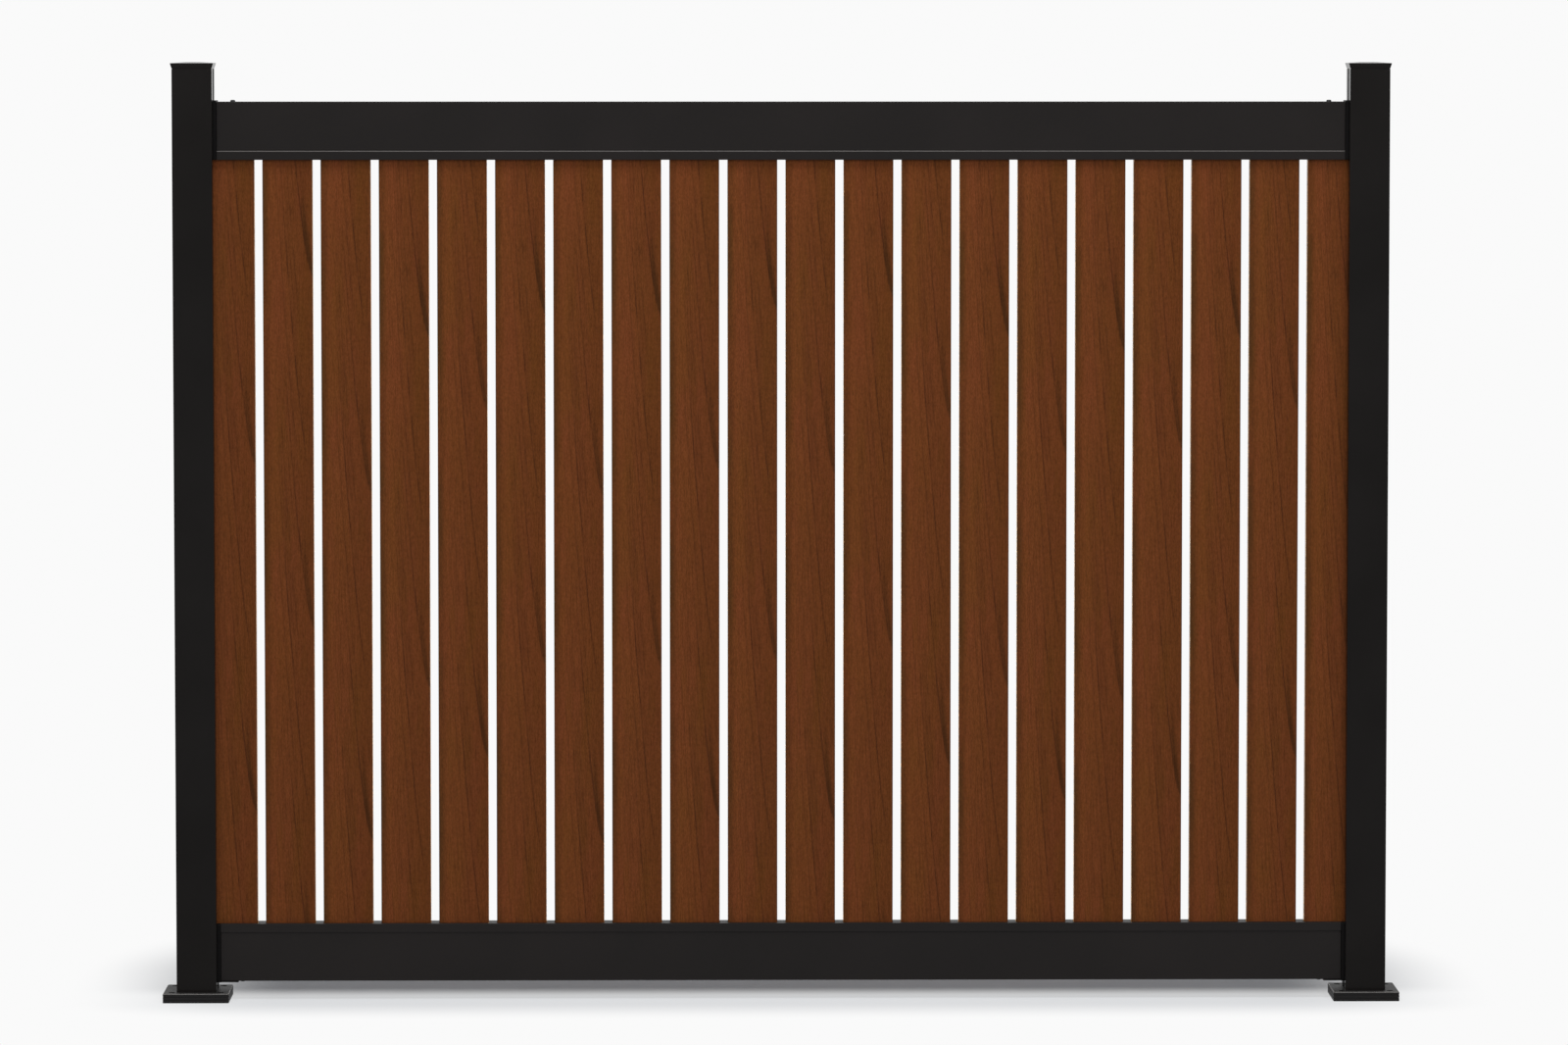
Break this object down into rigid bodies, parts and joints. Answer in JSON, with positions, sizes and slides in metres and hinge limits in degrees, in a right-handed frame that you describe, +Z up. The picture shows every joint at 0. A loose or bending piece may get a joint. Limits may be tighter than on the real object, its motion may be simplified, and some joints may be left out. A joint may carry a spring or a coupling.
{
  "type": "aluminium slat fence panel",
  "caption": "One bay of privacy fence: upright wood-grain aluminium slats held between black top and bottom rails, on two square posts with caps and bolt-down base plates",
  "frame": {"origin": "Middle of the left base plate's underside, on the ground", "axes": "+X along the bay towards the right post, the front faces -Y, +Z up"},
  "size_m": [1.9698, 0.105, 1.4941],
  "materials": {
    "black_frame": "matte",
    "black_fittings": "matte",
    "wood_grain": "matte"
  },
  "bodies": {
    "root": {"left_post": "black_frame", "right_post": "black_frame", "left_post_cap": "black_fittings", "right_post_cap": "black_fittings", "left_base_plate": "black_fittings", "right_base_plate": "black_fittings", "top_rail": "black_frame", "bottom_rail": "black_frame", "top_rail_cover": "black_frame", "bottom_rail_cover": "black_frame", "top_left_bracket": "black_fittings", "top_right_bracket": "black_fittings", "bottom_left_bracket": "black_fittings", "bottom_right_bracket": "black_fittings", "slat_01": "wood_grain", "slat_02": "wood_grain", "slat_03": "wood_grain", "slat_04": "wood_grain", "slat_05": "wood_grain", "slat_06": "wood_grain", "slat_07": "wood_grain", "slat_08": "wood_grain", "slat_09": "wood_grain", "slat_10": "wood_grain", "slat_11": "wood_grain", "slat_12": "wood_grain", "slat_13": "wood_grain", "slat_14": "wood_grain", "slat_15": "wood_grain", "slat_16": "wood_grain", "slat_17": "wood_grain", "slat_18": "wood_grain", "slat_19": "wood_grain", "slat_20": "wood_grain"}
  },
  "joints": []
}
